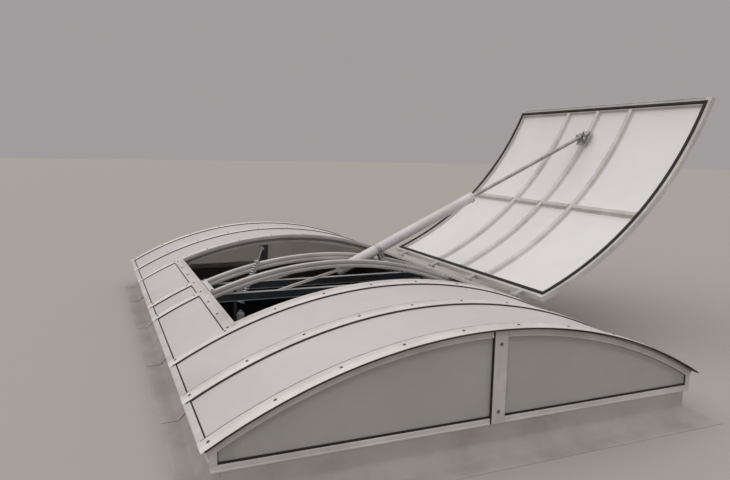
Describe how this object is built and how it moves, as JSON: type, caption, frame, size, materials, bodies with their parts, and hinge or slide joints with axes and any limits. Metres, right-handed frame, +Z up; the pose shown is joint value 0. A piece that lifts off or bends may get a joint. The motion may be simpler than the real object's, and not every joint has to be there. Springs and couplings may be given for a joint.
{
  "type": "roof skylight",
  "caption": "Barrel-vault roof skylight on a membrane-clad kerb, with one large curved vent flap swung open on its cylinder.",
  "frame": {"origin": "on the roof, at the middle of the kerb's fixing holes", "axes": "+X across the vault towards the flap's hinges, +Y along the vault, +Z up"},
  "size_m": [4.3754, 5.148, 2.0259],
  "materials": {
    "kerb_steel": "galvanised sheet, plain",
    "roofing_membrane": "grey bitumen roofing, weathered",
    "mill_aluminium": "mill finish, dull",
    "cover_strip": "mill finish, weathered",
    "vault_sheet": "opal multiwall sheet, matt and dusty",
    "gable_sheet": "translucent multiwall sheet, grey-green in shade",
    "flap_sheet": "opal sheet, near white",
    "black_seal": "black rubber",
    "fastener": "dull screw heads",
    "dark_channel": "dark paint",
    "valve_grey": "grey, smooth",
    "galvanised": "zinc plated",
    "spring_steel": "dark spring wire",
    "cylinder_grey": "pale grey paint",
    "rod_steel": "ground steel"
  },
  "bodies": {
    "base": {"kerb_left": "kerb_steel", "kerb_right": "kerb_steel", "kerb_front": "kerb_steel", "kerb_rear": "kerb_steel", "membrane": "roofing_membrane", "sills": "mill_aluminium", "eave_left": "mill_aluminium", "eave_right": "mill_aluminium", "gable_arches": "mill_aluminium", "side_arches": "mill_aluminium", "opening_arches": "mill_aluminium", "twin_arches": "mill_aluminium", "sheet_front": "vault_sheet", "sheet_front_inner": "vault_sheet", "sheet_rear_inner": "vault_sheet", "sheet_rear": "vault_sheet", "band_sheets_left": "vault_sheet", "band_sheets_right": "vault_sheet", "gable_strips": "cover_strip", "side_strips": "cover_strip", "opening_strips": "cover_strip", "band_strips": "cover_strip", "strip_gaskets": "black_seal", "opening_front": "mill_aluminium", "opening_rear": "mill_aluminium", "opening_left": "mill_aluminium", "opening_right": "mill_aluminium", "edge_gaskets": "black_seal", "gable_sheets_front": "gable_sheet", "gable_sheets_rear": "gable_sheet", "mullions": "mill_aluminium", "gable_rims": "mill_aluminium", "gable_gaskets": "black_seal", "screws": "fastener", "tie_plates": "mill_aluminium", "cross_channels": "dark_channel", "stays": "mill_aluminium", "valve_box": "valve_grey", "hinge_brackets": "galvanised", "trunnion": "galvanised", "spring_guide": "galvanised", "lift_spring": "spring_steel"},
    "flap": {"flap_frame_front": "mill_aluminium", "flap_frame_rear": "mill_aluminium", "flap_frame_free": "mill_aluminium", "flap_frame_hinge": "mill_aluminium", "flap_seal": "black_seal", "flap_sheet": "flap_sheet", "rib_middle": "mill_aluminium", "side_ribs": "mill_aluminium", "cross_ribs": "mill_aluminium", "knuckles": "galvanised", "rod_saddle": "galvanised"},
    "cylinder": {"cradle": "galvanised", "cylinder_tube": "cylinder_grey", "gland": "cylinder_grey"},
    "rod": {"rod": "rod_steel", "rod_eye": "rod_steel"},
    "spring_rod": {"plunger": "galvanised"}
  },
  "joints": [
    {"name": "flap_hinge", "type": "hinge", "parent": "base", "child": "flap", "pos_m": [1.16981, 0, 0.45194], "axis": [0, -1, 0], "range_deg": [0, 135.8]},
    {"name": "cylinder_tilt", "type": "hinge", "parent": "base", "child": "cylinder", "pos_m": [0.5, 0, 0.57784], "axis": [0, -1, 0], "range_deg": [0, 150.2]},
    {"name": "rod_slide", "type": "slide", "parent": "cylinder", "child": "rod", "axis": [0.9041, 0, 0.4274], "range_m": [-1.157, 0]},
    {"name": "spring_slide", "type": "slide", "parent": "base", "child": "spring_rod", "axis": [0.3811, 0, 0.9245], "range_m": [-0.131, 0], "deforming": ["lift_spring"]}
  ],
  "couplings": [
    {"joint": "cylinder_tilt", "follows": "flap_hinge", "ratio": 1.1054},
    {"joint": "rod_slide", "follows": "flap_hinge", "m_per_rad": -0.48791},
    {"joint": "spring_slide", "follows": "flap_hinge", "m_per_rad": -0.054849}
  ]
}
